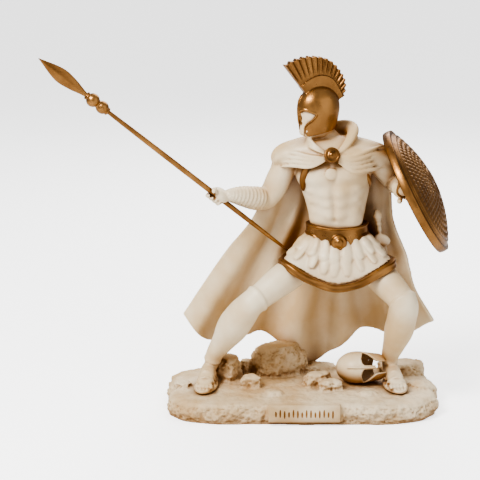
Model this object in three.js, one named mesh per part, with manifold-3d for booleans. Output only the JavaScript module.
import * as THREE from 'three';
import { mergeVertices } from 'three/addons/utils/BufferGeometryUtils.js';
import Module from 'manifold-3d';

// A table statuette of an ancient warrior in a lunge, with a spear and a round shield.
// Millimetres. X runs to the viewer's right, Y away from the viewer and Z up.
// "Right" and "left" in the names are the warrior's own, so his right is at low X.

const wasm = await Module();
wasm.setup();

const degrees = Math.PI / 180;
const gap = 0.3;

// Driving sizes
const base = { long: 200, deep: 92, top: 16 };
const foot = { long: 38, ball: 7.2, heel: 5.2, sole: 2.4 };
const helmet = { halfWide: 12, halfDeep: 15.6, chin: -23, crown: 15.5, yaw: -70 * degrees };
const head = [11, 2, 224];
const crest = { front: -128, sweep: 98, thick: 5, flutes: 12 };
// How far the crest's foot and its edge stand from the middle of the helmet, from front to back
const crestFoot = [24, 25.3, 26.5, 25.6, 22.3, 20.5];
const crestEdge = [43.5, 42, 40, 37.5, 33, 28.5, 21.5];
const shield = { radius: 48, rim: 5.6, dome: 11, wall: 3, centre: [79.5, 0, 161.5] };
const spear = { radius: 2, bladeLong: 46, bladeWide: 5.3, knob: 4.9 };
const cape = { thick: 3.2, folds: 5, topZ: 187 };
const skirt = { waist: [26, 8, 132], halfWide: 21, halfDeep: 14.5, long: 38, flare: 20 };
const pleat = { count: 18, deep: 1.1, wall: 3, hemTall: 5 };
// The turns, in degrees, at which the skirt lies over the two thighs
const thighTurns = [-150, -30];

// Places that the two hands, the spear and the shield are worked out from
const spearTip = new THREE.Vector3(-181, -58, 267);
const rightFist = new THREE.Vector3(-61, -9, 160.7);
const spearAxis = spearTip.clone().sub(rightFist).normalize();
const spearEnd = rightFist.clone().addScaledVector(spearAxis, -74);
const leftFist = new THREE.Vector3(69, -22, 167.5);
const shieldNormal = new THREE.Vector3(0.875, -0.124, 0.468).normalize();
const shieldCentre = new THREE.Vector3(...shield.centre);

const ivory = new THREE.MeshStandardMaterial({ name: 'ivory cast', color: 0xe6d9c2, roughness: 0.55 });
const stone = new THREE.MeshStandardMaterial({ name: 'ivory rock', color: 0xdfceb0, roughness: 0.8 });
const gilt = new THREE.MeshStandardMaterial({ name: 'gilt', color: 0xa87c45, roughness: 0.38 });
gilt.metalness = 0.8;

const vector = (point) => new THREE.Vector3(...point);
const smooth = (x) => THREE.MathUtils.smoothstep(x, 0, 1);
const near = (distance, reach) => Math.exp(-((distance / reach) ** 2));

/** The shortest signed way from one angle to another. */
function turnBetween(from, to) {
  return Math.atan2(Math.sin(to - from), Math.cos(to - from));
}

/** A value read off a smooth line through evenly spaced values. */
function along(values, share) {
  const curve = new THREE.CatmullRomCurve3(values.map((value) => new THREE.Vector3(value, 0, 0)));
  return curve.getPoint(THREE.MathUtils.clamp(share, 0, 1)).x;
}

/** A closed three.js shape as a solid, turned the right way out. */
function toSolid(geometry) {
  const bare = geometry.clone();
  bare.deleteAttribute('normal');
  bare.deleteAttribute('uv');
  const merged = mergeVertices(bare.index ? bare : mergeVertices(bare), 1e-4);
  const corners = merged.attributes.position;
  const faces = Array.from(merged.index.array);
  let volume = 0;
  const [a, b, c] = [new THREE.Vector3(), new THREE.Vector3(), new THREE.Vector3()];
  const kept = [];
  for (let i = 0; i < faces.length; i += 3) {
    const [p, q, r] = faces.slice(i, i + 3);
    if (p === q || q === r || r === p) continue;
    kept.push(p, q, r);
    a.fromBufferAttribute(corners, p);
    b.fromBufferAttribute(corners, q);
    c.fromBufferAttribute(corners, r);
    volume += a.dot(b.cross(c));
  }
  const triVerts = Uint32Array.from(volume > 0 ? kept : kept.reverse());
  const vertProperties = Float32Array.from(corners.array);
  return new wasm.Manifold(new wasm.Mesh({ numProp: 3, vertProperties, triVerts }));
}

/** Several shapes or solids joined into one solid. */
function fuse(...pieces) {
  const solids = pieces.flat().map((piece) => (piece.isBufferGeometry ? toSolid(piece) : piece));
  return solids.reduce((whole, solid) => whole.add(solid));
}

/** A solid as a named mesh. */
function named(name, solid, material) {
  const { vertProperties, triVerts, numProp } = solid.getMesh();
  const geometry = new THREE.BufferGeometry();
  const corners = new Float32Array((vertProperties.length / numProp) * 3);
  for (let i = 0; i < corners.length / 3; i += 1) {
    corners.set(vertProperties.subarray(i * numProp, i * numProp + 3), i * 3);
  }
  geometry.setAttribute('position', new THREE.BufferAttribute(corners, 3));
  geometry.setIndex(new THREE.BufferAttribute(Uint32Array.from(triVerts), 1));
  geometry.computeVertexNormals();
  const mesh = new THREE.Mesh(geometry, material);
  mesh.name = name;
  return mesh;
}

/** Moves every corner of a shape to where place says. */
function reshape(geometry, place) {
  const position = geometry.attributes.position;
  const uv = geometry.attributes.uv;
  for (let i = 0; i < position.count; i += 1) {
    const corner = new THREE.Vector3().fromBufferAttribute(position, i);
    const moved = place(corner, uv.getX(i), uv.getY(i));
    position.setXYZ(i, moved.x, moved.y, moved.z);
  }
  return geometry;
}

/**
 * A sphere drawn out along a smooth spine, for limbs and other rounded forms.
 * Each station is [x, y, z, half width along across, half depth]. The swell function adds to the radius.
 */
function drawnOut(stations, across, shaping = {}) {
  const { sides = 12, rings = 12, blunt = 0.3, square = 1, swell = () => 0 } = shaping;
  const centres = new THREE.CatmullRomCurve3(stations.map(([x, y, z]) => new THREE.Vector3(x, y, z)));
  const sizes = stations.map(([, , , wide, deep]) => new THREE.Vector3(wide, deep, 0));
  const halves = new THREE.CatmullRomCurve3(sizes);
  const sideways = vector(across).normalize();
  return reshape(new THREE.SphereGeometry(1, sides, rings), (corner, u, v) => {
    const share = 1 - v;
    const turn = 2 * Math.PI * u;
    const tangent = centres.getTangent(share);
    const wideAxis = sideways.clone().addScaledVector(tangent, -sideways.dot(tangent)).normalize();
    const deepAxis = new THREE.Vector3().crossVectors(tangent, wideAxis);
    const half = halves.getPoint(share);
    const closing = share > 0 && share < 1 ? Math.sin(Math.PI * share) ** blunt : 0;
    const [c, s] = [Math.cos(turn), Math.sin(turn)];
    const extra = swell(share, turn);
    const wide = Math.sign(c) * Math.abs(c) ** square * (half.x + extra) * closing;
    const deep = Math.sign(s) * Math.abs(s) ** square * (half.y + extra) * closing;
    return centres.getPoint(share).addScaledVector(wideAxis, wide).addScaledVector(deepAxis, deep);
  });
}

/**
 * A band round an upright ellipse. The profile is a closed row of [outward, up] points, and bend may
 * change a point for each turn. The front of the ellipse is at a turn of -90 degrees.
 */
function ring([x, y, z], wide, deep, profile, { segments = 40, bend = (turn, out, up) => [out, up] } = {}) {
  const closed = [...profile, profile[0]].map(([out, up]) => new THREE.Vector2(100 + out, up));
  return reshape(new THREE.LatheGeometry(closed, segments), (corner, u) => {
    const turn = 2 * Math.PI * u;
    const [out, up] = bend(turn, Math.hypot(corner.x, corner.z) - 100, corner.y);
    return new THREE.Vector3(x + (wide + out) * Math.cos(turn), y + (deep + out) * Math.sin(turn), z + up);
  });
}

/** An ellipsoid, turned so that its own up axis follows the given direction. */
function ball([x, y, z], [wide, deep, tall], { up = [0, 0, 1], sides = 12, rings = 8 } = {}) {
  const shape = new THREE.SphereGeometry(1, sides, rings);
  shape.rotateX(Math.PI / 2);
  shape.scale(wide, deep, tall);
  const turned = new THREE.Quaternion();
  turned.setFromUnitVectors(new THREE.Vector3(0, 0, 1), vector(up).normalize());
  return shape.applyQuaternion(turned).translate(x, y, z);
}

/** A round bar between two points. */
function bar(from, to, radius, sides = 12, farRadius = radius) {
  const span = new THREE.Vector3().subVectors(to, from);
  const shape = new THREE.CylinderGeometry(farRadius, radius, span.length(), sides);
  const turned = new THREE.Quaternion();
  turned.setFromUnitVectors(new THREE.Vector3(0, 1, 0), span.clone().normalize());
  return shape.applyQuaternion(turned).translate(...from.clone().addScaledVector(span, 0.5).toArray());
}

// The muscle cuirass with the neck: a chest turned a little towards his right
function torso() {
  const stations = [
    [26, 9, 102, 15, 12],
    [26.5, 9, 113, 20, 14.5],
    [26, 8, 126, 20, 13.5],
    [25.5, 7.5, 139, 20.5, 13.5],
    [25, 7, 153, 22.5, 14.5],
    [24, 6, 167, 25.5, 16.5],
    [22.5, 6, 179, 27.5, 16.5],
    [21, 6.5, 190, 23, 13],
    [19, 6.5, 198, 13, 10],
    [16, 5.5, 206, 9, 9],
    [13.5, 4.5, 216, 8.2, 8.2],
  ];
  const front = -90 * degrees;
  const muscle = (share, turn, level, side, high, tall, round) =>
    high * near(share - level, tall) * near(turnBetween(front + side * degrees, turn) / degrees, round);
  const swell = (share, turn) => {
    let extra = 0;
    for (const side of [-1, 1]) {
      extra += muscle(share, turn, 0.585, side * 34, 3, 0.055, 24);
      for (const level of [0.375, 0.44, 0.505]) {
        extra += muscle(share, turn, level, side * 15, 1.3, 0.025, 10);
      }
      extra += muscle(share, turn, 0.42, side * 62, 1.4, 0.05, 22);
      extra += muscle(share, turn, 0.6, side * 128, 1.6, 0.07, 26);
    }
    return extra - muscle(share, turn, 0.45, 0, 1, 0.13, 8);
  };
  return drawnOut(stations, [0.985, -0.17, 0], { sides: 16, rings: 14, swell });
}

function chestDisc() {
  const disc = new THREE.CylinderGeometry(4.2, 4.6, 2.4, 12);
  return disc.rotateX(80 * degrees).translate(19.6, -11.6, 178);
}

// Each leg runs through its knee as one form
function leg(stations) {
  return drawnOut(stations, [1, 0, 0], { sides: 8, rings: 13, blunt: 0.2 });
}

function rightLeg() {
  return leg([
    [15, 9, 112, 15, 15],
    [1, 2, 106.5, 14, 14],
    [-15, -7, 98, 12.5, 13.5],
    [-28, -14, 89.5, 10, 11],
    [-37, -18, 83.5, 9, 9.5],
    [-44, -14, 74, 10.5, 10.5],
    [-51, -8, 62, 11, 10.5],
    [-58, -1, 49, 8, 8.5],
    [-64, 4, 38, 6.5, 7],
    [-67, 6, 28, 6.5, 7.5],
    [-68, 6, 20, 5.5, 7],
  ]);
}

function leftLeg() {
  return leg([
    [37, 9, 112, 15, 15],
    [50, 2, 106, 14, 14],
    [62, -8, 96, 12.5, 13],
    [70, -15, 88, 10.5, 10.5],
    [73.5, -18, 82, 10, 9.5],
    [73, -14, 72, 10, 10.5],
    [71.5, -8, 60, 10, 10.5],
    [69, -1, 47, 7.8, 8.5],
    [67, 4, 37, 6.5, 7],
    [66.5, 6, 28, 6.5, 7.5],
    [66.5, 6, 20, 5.5, 7],
  ]);
}

// A greave's raised ridge, from over the knee down the shin
function greaveRidge(knee, shin, ankle) {
  const stations = [[...knee, 5.5, 3], [...shin, 3.4, 2.6], [...ankle, 2.6, 2.4]];
  return drawnOut(stations, [1, 0, 0], { sides: 5, rings: 5, blunt: 0.5 });
}

/** A sandalled foot: instep, toes and a sole that stands on the rock. */
function sandalledFoot(ankleX, toeX) {
  const ground = base.top + gap;
  const heelY = 13;
  const lean = (toeX - ankleX) / foot.long;
  const at = (share) => [ankleX + lean * share * foot.long, heelY - share * foot.long];
  const lift = ground + foot.sole - 0.6;
  const instep = drawnOut(
    [
      [...at(0.04), lift + 5, 4.4, 5],
      [...at(0.2), lift + 7, 5.4, 7],
      [...at(0.42), lift + 6, 5.8, 6],
      [...at(0.65), lift + 4, 6.6, 4],
      [...at(0.84), lift + 2.6, 6.8, 2.6],
    ],
    [1, 0, 0],
    { sides: 8, rings: 6, square: 0.8 },
  );
  const toes = [];
  for (let toe = 0; toe < 5; toe += 1) {
    const side = (toe - 2) * 2.7;
    const reach = 0.97 - 0.02 * toe * (toeX > 0 ? 1 : 0) - 0.02 * (4 - toe) * (toeX > 0 ? 0 : 1);
    const [x, y] = at(reach - 0.09);
    toes.push(ball([x + side, y, lift + 1.9], [1.7, 4, 2.1], { sides: 5, rings: 4 }));
  }
  const outline = new THREE.Shape();
  const points = [];
  for (let step = 0; step < 14; step += 1) {
    const turn = (2 * Math.PI * step) / 14;
    const share = 0.5 - 0.52 * Math.cos(turn);
    const half = foot.heel + 1 + (foot.ball - foot.heel + 0.6) * smooth(share * 1.3);
    const [x, y] = at(share);
    points.push(new THREE.Vector2(x + half * Math.sin(turn) * 1.05, y));
  }
  outline.setFromPoints(points);
  const sole = new THREE.ExtrudeGeometry(outline, { depth: foot.sole, bevelEnabled: false });
  return { solid: fuse(instep, sole.translate(0, 0, ground), ...toes), outline };
}

// Arms, each through its elbow as one form
function rightArm() {
  const bands = (share) => (share > 0.6 && share < 0.96 ? 0.35 * Math.cos(share * 200) : 0);
  const stations = [
    [-6, 9, 190, 10, 10],
    [-10.5, 11, 182, 11.5, 11.5],
    [-17, 13, 170, 9, 9.8],
    [-22, 15, 159, 8, 8.6],
    [-27, 14, 154.5, 7.8, 8.4],
    [-35, 8, 156, 8.2, 8.2],
    [-44, 1, 159, 7.4, 7.4],
    [-52, -5, 161, 6, 6],
    [-57, -8, 162, 5.2, 5.2],
  ];
  return drawnOut(stations, [0.4, 0.9, 0], { sides: 8, rings: 12, swell: bands });
}

function leftArm() {
  const stations = [
    [50, 2, 189, 10.5, 10.5],
    [55.5, 4, 183, 11.5, 11.5],
    [61, 11, 176, 9.5, 9.8],
    [66, 19, 169, 8.4, 8.6],
    [68.5, 22, 165.5, 8, 8.2],
    [69, 13, 166, 8, 8],
    [69.5, 2, 167, 7.2, 7.2],
    [69.5, -8, 168, 5.8, 5.8],
    [69.1, -19, 167.8, 5.4, 5.4],
  ];
  return drawnOut(stations, [0.9, 0, 0.4], { sides: 8, rings: 11 });
}

/** A closed hand: four fingers stacked along the bar that they hold, and a thumb. */
function fist(centre, axis, back, size) {
  const place = (far, out) => centre.clone().addScaledVector(axis, far).addScaledVector(back, out).toArray();
  const stations = [-8, -4, 0, 4, 8].map((far, i) => {
    const half = size * [0.8, 0.98, 1, 0.95, 0.8][i];
    return [...place(far, 0.6), half, half * 0.95];
  });
  const fingers = (share) => 0.75 * Math.abs(Math.cos(4 * Math.PI * share + Math.PI / 2));
  const knuckles = drawnOut(stations, back.toArray(), { sides: 7, rings: 9, blunt: 0.35, swell: fingers });
  const thumb = drawnOut(
    [[...place(8, 3), 2.4, 2.4], [...place(7.5, -2), 2.3, 2.3], [...place(5, -5.5), 2, 2]],
    axis.toArray(),
    { sides: 8, rings: 6, blunt: 0.5 },
  );
  return fuse(knuckles, thumb);
}

// The helmet in the head's own frame: X to his left, Y back, Z up, then turned to look along the spear
function helmetShell() {
  const { halfWide: w, halfDeep: d, chin, crown } = helmet;
  const shell = toSolid(
    drawnOut(
      [
        [0, -1.5, chin - 3, w * 0.78, d * 0.84],
        [0, -0.6, chin + 5, w * 0.88, d * 0.93],
        [0, 0, -8, w * 0.95, d * 0.96],
        [0, 0, 0, w, d],
        [0, 0, 7, w * 0.93, d * 0.93],
        [0, 0, crown - 3, w * 0.7, d * 0.7],
        [0, 0, crown, w * 0.42, d * 0.42],
      ],
      [1, 0, 0],
      { sides: 14, rings: 8, blunt: 0.2 },
    ),
  );
  const below = new THREE.BoxGeometry(60, 60, 20).rotateX(14 * degrees).translate(0, 0, chin - 5.6);
  const eyes = -4.5;
  const opening = new THREE.Shape();
  opening.moveTo(1.5, eyes + 1.2);
  opening.quadraticCurveTo(5.5, eyes + 4.2, 10.5, eyes + 1);
  opening.quadraticCurveTo(8.5, eyes - 4, 4.6, eyes - 7.5);
  opening.lineTo(3.6, chin - 8);
  opening.lineTo(-3.6, chin - 8);
  opening.lineTo(-4.6, eyes - 7.5);
  opening.quadraticCurveTo(-8.5, eyes - 4, -10.5, eyes + 1);
  opening.quadraticCurveTo(-5.5, eyes + 4.2, -1.5, eyes + 1.2);
  opening.lineTo(-1.3, eyes - 8);
  opening.lineTo(1.3, eyes - 8);
  const slot = new THREE.ExtrudeGeometry(opening, { depth: 30, bevelEnabled: false, curveSegments: 3 });
  slot.rotateX(Math.PI / 2).translate(0, -1, 0);
  return shell.subtract(toSolid(below)).subtract(toSolid(slot));
}

function helmetCrest() {
  const centreZ = -3.5;
  const steps = crest.flutes * 2;
  const arc = (share) => (crest.front + crest.sweep * share) * degrees;
  const spot = (side, radius, turn) =>
    new THREE.Vector3(side, radius * Math.cos(turn), centreZ - radius * Math.sin(turn));
  const fan = reshape(new THREE.BoxGeometry(1, 1, 1, steps, 1, 1), (corner) => {
    const share = corner.x + 0.5;
    const out = corner.y + 0.5;
    const foot = along(crestFoot, share) - 1;
    const radius = foot + (along(crestEdge, share) - foot) * out;
    const flute = Math.round(share * steps) % 2 ? -1 : 0.6;
    const thick = crest.thick * (0.82 + 0.18 * out) + flute * smooth(out * 1.6);
    return spot(corner.z * thick, radius, arc(share));
  });
  const holder = reshape(new THREE.BoxGeometry(1, 1, 1, 9, 1, 1), (corner) => {
    const share = corner.x + 0.5;
    const foot = helmet.crown - 2;
    const radius = foot + (along(crestFoot, share) - foot) * (corner.y + 0.5);
    return spot(corner.z * (crest.thick + 1.4), radius, arc(share));
  });
  return fuse(fan, holder);
}

function face() {
  const skull = ball([0, 0.4, -4], [9.8, 13.4, 18.5], { sides: 8, rings: 6 });
  const bridge = [[0, -12.6, 1, 1, 1.4], [0, -13.8, -5, 1.6, 1.8], [0, -13.4, -8, 2, 1.6]];
  const nose = drawnOut(bridge, [1, 0, 0], { sides: 6, rings: 5 });
  return fuse(skull, nose);
}

function helmetedHead() {
  const solid = fuse(helmetShell(), helmetCrest(), face());
  return solid.rotate([0, 0, helmet.yaw / degrees]).translate(head);
}

// The hem rises over the thighs and hangs lowest in front
const hemLift = (turn) => 14 * Math.abs(Math.cos(turn)) ** 1.6 + 8 * smooth(Math.sin(turn));

function skirtFlare(turn, down) {
  const thigh = thighTurns.reduce((sum, at) => sum + near(turnBetween(at * degrees, turn) / degrees, 22), 0);
  const flare = skirt.flare * (1 - 0.12 * Math.abs(Math.sin(turn))) + 7 * thigh;
  return { out: flare * down ** 1.15, up: -down * (skirt.long - hemLift(turn) - 5 * thigh) };
}

function pleatedSkirt() {
  const rows = [0, 0.4, 0.9];
  const profile = [[-6, 0], ...rows.map((down) => [0, -down]), [-pleat.wall, -0.9], [-pleat.wall, -0.45]];
  const bend = (turn, out, up) => {
    const down = -up;
    const { out: flare, up: drop } = skirtFlare(turn, down);
    const wave = out === 0 ? pleat.deep * smooth(down * 2) * Math.cos(pleat.count * turn) : 0;
    return [out + flare + wave, drop];
  };
  return ring(skirt.waist, skirt.halfWide, skirt.halfDeep, profile, { segments: pleat.count * 2, bend });
}

function skirtHem() {
  const profile = [[-3.4, -1], [1.8, -1], [1.8, 0], [-3.4, 0]];
  const bend = (turn, out, up) => {
    const { out: flare, up: drop } = skirtFlare(turn, 0.88);
    return [out + flare - up * 0.9, drop + up * pleat.hemTall];
  };
  return ring(skirt.waist, skirt.halfWide, skirt.halfDeep, profile, { segments: pleat.count * 2, bend });
}

// The belt dips to a plate in front, which carries the round buckle
function belt() {
  const plate = (turn) => smooth(1.15 - Math.abs(turnBetween(-90 * degrees, turn)) / (48 * degrees));
  const profile = [[-4, -3.4], [2.4, -3.6], [1.7, -1.6], [1.7, 2], [2.4, 3.6], [-4, 3.6]];
  const bend = (turn, out, up) => {
    const drop = up < -1 ? 9.5 * plate(turn) : 0;
    return [out + drop * 0.12, up - drop + 1.6 * Math.abs(Math.cos(turn))];
  };
  return ring([26, 8, 132.5], 20.6, 13.8, profile, { segments: 24, bend });
}

function buckle() {
  const disc = new THREE.CylinderGeometry(4.8, 5.6, 4, 12).rotateX(78 * degrees).translate(26.4, -8.6, 126.6);
  return fuse(disc, ball([26.4, -10.2, 127], [3.3, 2, 3.8], { sides: 8, rings: 4 }));
}

function brooch() {
  const disc = new THREE.CylinderGeometry(5, 6, 4.6, 12).rotateX(68 * degrees).translate(20.2, -12.6, 191.6);
  return fuse(disc, ball([20.2, -14, 192.2], [3.2, 1.8, 3.2], { sides: 8, rings: 4 }));
}

// Gilt bands at the arm openings of the cuirass
function armholeBands() {
  const right = [
    [4, -7, 186, 2.6, 1.8],
    [1, -5.6, 178, 2.8, 1.8],
    [0, -2.5, 170, 2.4, 1.8],
    [1, 2.5, 163, 2, 1.8],
  ];
  const left = [
    [36, -9.4, 187, 2.6, 1.8],
    [42, -6.8, 180, 3, 1.8],
    [47, -2.5, 172, 2.4, 1.8],
    [48, 3, 165, 2, 1.8],
  ];
  return [right, left].map((stations) =>
    drawnOut(stations, [1, 0, 0.4], { sides: 6, rings: 6, blunt: 0.25, square: 0.7 }),
  );
}

// The mantle lies over both shoulders, with a rolled collar and folds that sweep from the brooch
function mantle() {
  const yoke = drawnOut(
    [
      [-20, 11, 180, 8, 8],
      [-15, 9, 186.5, 12.5, 10.5],
      [-3, 7.5, 190.5, 15.5, 9.5],
      [10, 6.5, 193.5, 17.5, 9],
      [20, 6, 194.5, 18.5, 8.5],
      [32, 4.5, 194, 17.5, 9],
      [46, 3, 190.5, 15.5, 10],
      [58, 2.5, 187, 13, 10.5],
      [64, 5, 181, 9, 8],
    ],
    [0, 1, 0.12],
    { sides: 10, rings: 11, blunt: 0.35 },
  );
  const roll = drawnOut(
    [
      [17, -14, 192, 2, 2],
      [7, -8.5, 197.5, 3.4, 3],
      [4.5, 3, 202, 4.6, 3.4],
      [9, 15, 204, 5, 3.8],
      [21, 19, 205, 5.2, 4.2],
      [33, 13, 206.5, 5.8, 4.6],
      [36, 1, 205, 5.8, 4.4],
      [31, -9, 198.5, 4.4, 3.4],
      [23, -14, 192.4, 2, 2],
    ],
    [0, 0, 1],
    { sides: 6, rings: 14, blunt: 0.3 },
  );
  const folds = [0, 1, 2].map((fold) =>
    drawnOut(
      [
        [24, -13, 191 - fold * 1.4, 1.4, 1.2],
        [37 + fold, -12.6, 190.5 - fold * 3.2, 2.3, 2],
        [49 + fold, -8.6, 194 - fold * 4.6, 2.4, 2.2],
        [60 - fold, -2, 196.5 - fold * 5.2, 1.6, 1.6],
      ],
      [0, 0, 1],
      { sides: 6, rings: 6, blunt: 0.4 },
    ),
  );
  return [yoke, roll, ...folds];
}

// The falling cape. Across runs from his right edge (0) to his left (1), down from the shoulders to the hem
const capeRight = [-20, -26.5, -36, -55, -72, -88];
const capeLeft = [61, 66, 69, 79, 86, 101];
const capeHem = [64, 41, 43, 46, 34, 18, 30, 47, 47, 45, 58];

function capePoint(across, down) {
  const hem = along(capeHem, across);
  const low = along(capeRight, down);
  const high = along(capeLeft, down);
  const swing = down ** 1.2;
  const fold = Math.cos(2 * Math.PI * cape.folds * across + 0.9 + 0.7 * down);
  const wings = Math.abs(2 * across - 1) ** 3;
  return new THREE.Vector3(
    low + (high - low) * across,
    21 + 8 * Math.sin(Math.PI * 0.5 * down) + 7 * down * (1 - wings) - 9 * swing * wings + 6 * swing * fold,
    cape.topZ + (hem - cape.topZ) * down + 3 * (1 - down) * (1 - wings),
  );
}

function fallingCape(thick, longer = 0) {
  return reshape(new THREE.BoxGeometry(1, 1, 1, 20, 6, 1), (corner) => {
    const across = corner.x + 0.5;
    const down = 0.5 - corner.y;
    const step = 0.01;
    const [left, right] = [Math.max(across - step, 0), Math.min(across + step, 1)];
    const [above, below] = [Math.max(down - step, 0), Math.min(down + step, 1)];
    const sideways = capePoint(right, down).sub(capePoint(left, down));
    const downwards = capePoint(across, below).sub(capePoint(across, above));
    const out = new THREE.Vector3().crossVectors(sideways, downwards).normalize();
    const point = capePoint(across, down).addScaledVector(out, corner.z * thick);
    point.z -= longer * down;
    return point;
  });
}

// A short sword hangs hilt up at his left hip
function sword() {
  const hilt = [55, 11, 0];
  const at = (z, half, deep) => [hilt[0] + (146 - z) * 0.16, hilt[1] + (146 - z) * 0.14, z, half, deep];
  const grip = drawnOut([at(147, 3.4, 3), at(142, 3.6, 3), at(138, 2.6, 2.4), at(123, 2.6, 2.4)], [1, 0, 0], {
    sides: 6,
    rings: 7,
    blunt: 0.5,
  });
  const guard = ball([59.5, 13.6, 123], [6.6, 3, 4.6], { up: [0.25, 0, 1], sides: 8, rings: 4 });
  const scabbard = drawnOut([at(124, 4.4, 2.4), at(112, 4.2, 2.2), at(98, 3.6, 2)], [1, 0, 0], {
    sides: 8,
    rings: 5,
  });
  return [grip, guard, scabbard];
}

const feet = [sandalledFoot(-67.5, -72.5), sandalledFoot(67, 71.5)];

function warriorFigure() {
  const rightBack = new THREE.Vector3(0.6, 0.75, 0.25);
  const leftBack = new THREE.Vector3(-0.35, 0.9, 0.1);
  const body = fuse(
    torso(), chestDisc(), rightLeg(), leftLeg(), rightArm(), leftArm(), feet[0].solid, feet[1].solid,
    greaveRidge([-41, -25.5, 87], [-50, -17, 66], [-63, -3, 38]),
    greaveRidge([73, -25.5, 86], [71.5, -17, 63], [67, -3, 38]),
  );
  const dress = fuse(
    ...mantle(), fallingCape(cape.thick), pleatedSkirt(), skirtHem(), belt(), buckle(), brooch(),
    ...armholeBands(), ...sword(),
  );
  const hands = fuse(
    fist(rightFist, spearAxis, rightBack.normalize(), 7.2),
    fist(leftFist, new THREE.Vector3(0.35, 0.15, -0.92).normalize(), leftBack.normalize(), 6.6),
  );
  const spearHole = bar(spearEnd.clone().addScaledVector(spearAxis, -gap), spearTip, spear.radius + gap, 12);
  const whole = fuse(body, dress, hands, helmetedHead());
  return whole.subtract(toSolid(spearHole)).subtract(toSolid(shieldGrip(gap)));
}

// The shield in its own frame: Y along its axis, then turned to face out
function placedShield(geometry) {
  const turned = new THREE.Quaternion().setFromUnitVectors(new THREE.Vector3(0, 1, 0), shieldNormal);
  return geometry.applyQuaternion(turned).translate(...shieldCentre.toArray());
}

function shieldDish() {
  const { radius, rim, dome, wall } = shield;
  const profile = [[0, rim + dome - wall - 1], [radius * 0.35, rim + dome * 0.84 - wall - 1]];
  profile.push([radius * 0.7, rim + dome * 0.4 - wall - 1], [radius - 3.4, 0], [radius, 0], [radius, rim]);
  profile.push([radius - 3.5, rim + 0.9]);
  for (const [share, bead] of [[0.86, 0], [0.8, 1], [0.7, 1], [0.64, 0], [0.36, 0.8], [0.28, 0]]) {
    profile.push([radius * share, rim + 0.9 + dome * (1 - (share / 0.93) ** 2) + bead]);
  }
  profile.push([0, rim + dome + 1.6]);
  return placedShield(new THREE.LatheGeometry(profile.map(([r, h]) => new THREE.Vector2(r, h)), 28));
}

// The grip is a bowed bar that the left hand closes on
function shieldGrip(extra = 0) {
  const out = shieldNormal.clone();
  const lengthways = new THREE.Vector3(0.35, 0.15, -0.92).normalize();
  const deep = shield.rim + shield.dome * 0.75 - shield.wall;
  const anchor = (far) => leftFist.clone().addScaledVector(lengthways, far).addScaledVector(out, deep - 3.6);
  const bowed = leftFist.clone().addScaledVector(out, -2.4);
  const bend = (far) => anchor(far).lerp(bowed, 0.35);
  const curve = new THREE.CatmullRomCurve3([anchor(-17), bend(-14), bowed, bend(14), anchor(17)]);
  const section = new THREE.Shape().absarc(0, 0, 1.3 + extra, 0, 2 * Math.PI);
  return new THREE.ExtrudeGeometry(section, { steps: 8, curveSegments: 3, extrudePath: curve });
}

function spearWhole() {
  const reach = (far) => spearTip.clone().addScaledVector(spearAxis, -far);
  const shaft = bar(spearEnd, reach(spear.bladeLong - 4), spear.radius, 12);
  const sideways = new THREE.Vector3(0, 1, 0).cross(spearAxis).normalize();
  const point = [[0, 0.6, 0.5], [10, 3.2, 1.4]];
  const leaf = [...point, [22, spear.bladeWide, 2.1], [34, 3.6, 2], [spear.bladeLong, 2.2, 2]];
  const blade = drawnOut(
    leaf.map(([far, wide, deep]) => [...reach(far).toArray(), wide, deep]),
    sideways.toArray(),
    { sides: 8, rings: 9, blunt: 0.3, square: 1.35 },
  );
  const knobs = [spear.bladeLong + 3, spear.bladeLong + 11.5].map((far, i) => {
    const half = spear.knob - i * 0.3;
    const turned = { up: spearAxis.toArray(), sides: 10, rings: 6 };
    return ball(reach(far).toArray(), [half, half, spear.knob], turned);
  });
  return fuse(shaft, blade, ...knobs);
}

// The rocky base: an uneven slab with a plaque in front and fallen stones
function rockOutline(turn) {
  const [c, s] = [Math.cos(turn), Math.sin(turn)];
  const box = (Math.abs(c) ** 4.5 + Math.abs(s) ** 4.5) ** (-1 / 4.5);
  const uneven = 0.012 * Math.sin(5 * turn + 1) + 0.01 * Math.sin(11 * turn) + 0.006 * Math.sin(23 * turn);
  return box * (1 + uneven);
}

function rockSlab() {
  const side = [[0, 0], [0.975, 0], [0.995, 3], [1, 8], [0.985, 12], [0.945, 14.6]];
  const profile = [...side, [0.86, 15.4], [0.5, 15.8], [0, base.top]];
  const shape = new THREE.LatheGeometry(profile.map(([r, h]) => new THREE.Vector2(r, h)), 32);
  return reshape(shape, (corner, u) => {
    const turn = 2 * Math.PI * u;
    const reach = Math.hypot(corner.x, corner.z) * rockOutline(turn);
    const wave = 0.7 * Math.sin(9 * turn + corner.y) * Math.sin(4 * turn + 2);
    const rough = corner.y > 1 && reach > 0.6 ? wave : 0;
    const x = reach * Math.cos(turn) * (base.long / 2) + 1 + rough;
    const y = reach * Math.sin(turn) * (base.deep / 2) + rough;
    const dip = corner.y > 15 ? 0.4 * Math.abs(Math.sin(x * 0.11 + y * 0.07)) : 0;
    return new THREE.Vector3(x, y, corner.y - dip);
  });
}

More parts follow.
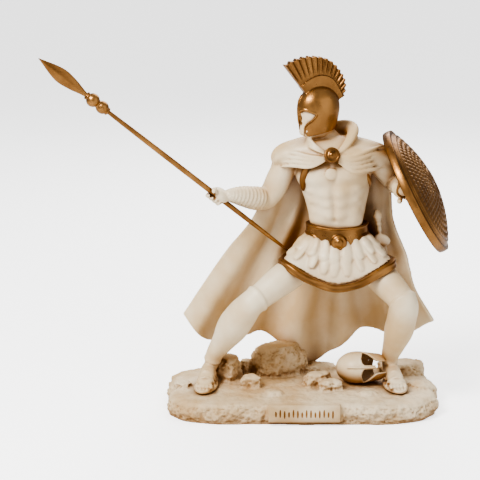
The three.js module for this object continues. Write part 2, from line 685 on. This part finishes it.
/** A rough stone: a few-sided ball with flattened, uneven faces. */
function boulder(place, halves, seed, detail = 1) {
  const shape = new THREE.IcosahedronGeometry(1, detail);
  reshape(shape, (corner) => {
    const { x, y, z } = corner;
    const wave = Math.sin(x * 3 + seed) * Math.cos(y * 4 - seed * 2) * Math.sin(z * 3 + seed * 3);
    const pushed = corner.clone().multiplyScalar(1 + 0.1 * wave).clampScalar(-0.82, 0.82);
    return pushed.multiply(vector(halves));
  });
  return shape.rotateZ(seed).translate(...place);
}

function plaque() {
  const plate = new THREE.BoxGeometry(52, 5, 13.5).translate(1, -46, 9.4);
  const strokes = [];
  for (let i = 0; i < 9; i += 1) {
    strokes.push(new THREE.BoxGeometry(1.2, 2, 7.4).translate(-20 + i * 5.2, -48.6, 9.4));
  }
  return strokes.reduce((rest, stroke) => rest.subtract(toSolid(stroke)), toSolid(plate));
}

function fallenHelmet() {
  const hollow = ball([0, 0, -6], [10, 13, 17], { sides: 10, rings: 6 });
  const shell = helmetShell().subtract(toSolid(hollow));
  return shell.rotate([0, -90, 0]).rotate([-18, 0, 5]).translate([42, 3, 27.5]);
}

function rockyBase() {
  const stones = [
    boulder([-15, 27, 24], [25, 15, 19], 0.35),
    boulder([-54, 13, 21], [11, 10, 15], 1.1),
    boulder([-40, 27, 18], [7, 7, 10], 2.2),
    boulder([-37, -6, 18.5], [10, 7, 7.5], 2.9),
    boulder([13, -1, 18.5], [13, 8, 8], 0.3),
    boulder([22, -12, 17.5], [11, 7, 7], 0.2),
    boulder([78, 30, 17], [22, 12, 8], 0.1),
    boulder([4, 32, 15.5], [30, 10, 6.5], 0.1),
  ];
  const whole = fuse(rockSlab(), plaque(), ...stones, fallenHelmet());
  const seats = feet.map(({ outline }) =>
    toSolid(new THREE.ExtrudeGeometry(outline, { depth: 12, bevelEnabled: false }).translate(0, 0, base.top)),
  );
  const cleared = seats.reduce((rest, seat) => rest.subtract(seat), whole);
  return cleared.subtract(toSolid(fallingCape(cape.thick + 2 * gap, 2 * gap)));
}

const statuette = new THREE.Group();
statuette.name = 'warrior_statuette';
statuette.add(
  named('rocky_base', rockyBase(), stone),
  named('warrior_figure', warriorFigure(), ivory),
  named('round_shield', fuse(shieldDish(), shieldGrip()), gilt),
  named('spear', spearWhole(), gilt),
);

export default statuette;
